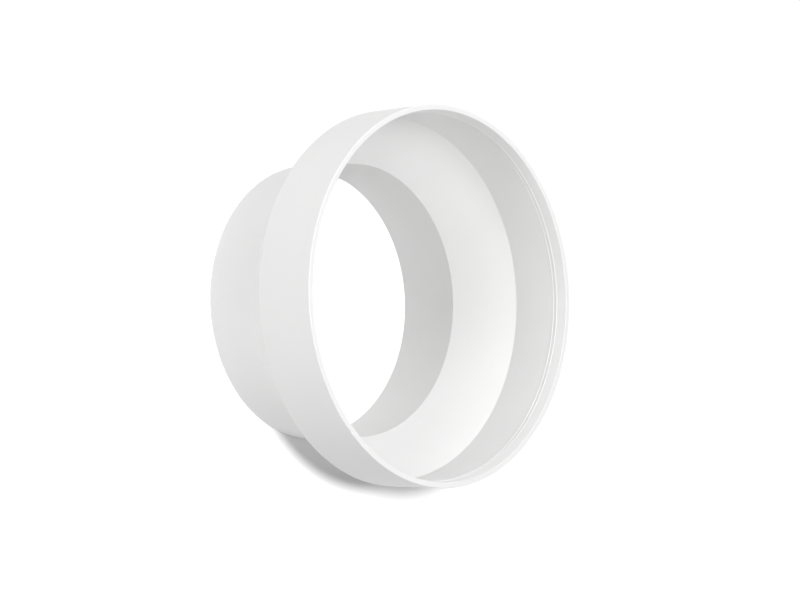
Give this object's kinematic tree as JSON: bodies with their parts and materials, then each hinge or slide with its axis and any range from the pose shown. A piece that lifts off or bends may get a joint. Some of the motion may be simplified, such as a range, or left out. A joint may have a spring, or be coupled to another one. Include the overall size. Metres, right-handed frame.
{
  "type": "duct reducer",
  "caption": "Round moulded plastic duct reducer: a wide socket with a beaded mouth narrows through a cone to a plain spigot, joining a large ventilation duct to a smaller one.",
  "frame": {"origin": "centre of the spigot's end face, on the duct's axis, where the part stands", "axes": "+Z along the duct's axis, from the spigot's end up to the socket's mouth; X and Y are free, because the part is round"},
  "size_m": [0.1298, 0.1298, 0.0657],
  "materials": {
    "white_plastic": "plain white moulded plastic, satin"
  },
  "bodies": {
    "root": {"reducer_body": "white_plastic"}
  },
  "joints": []
}
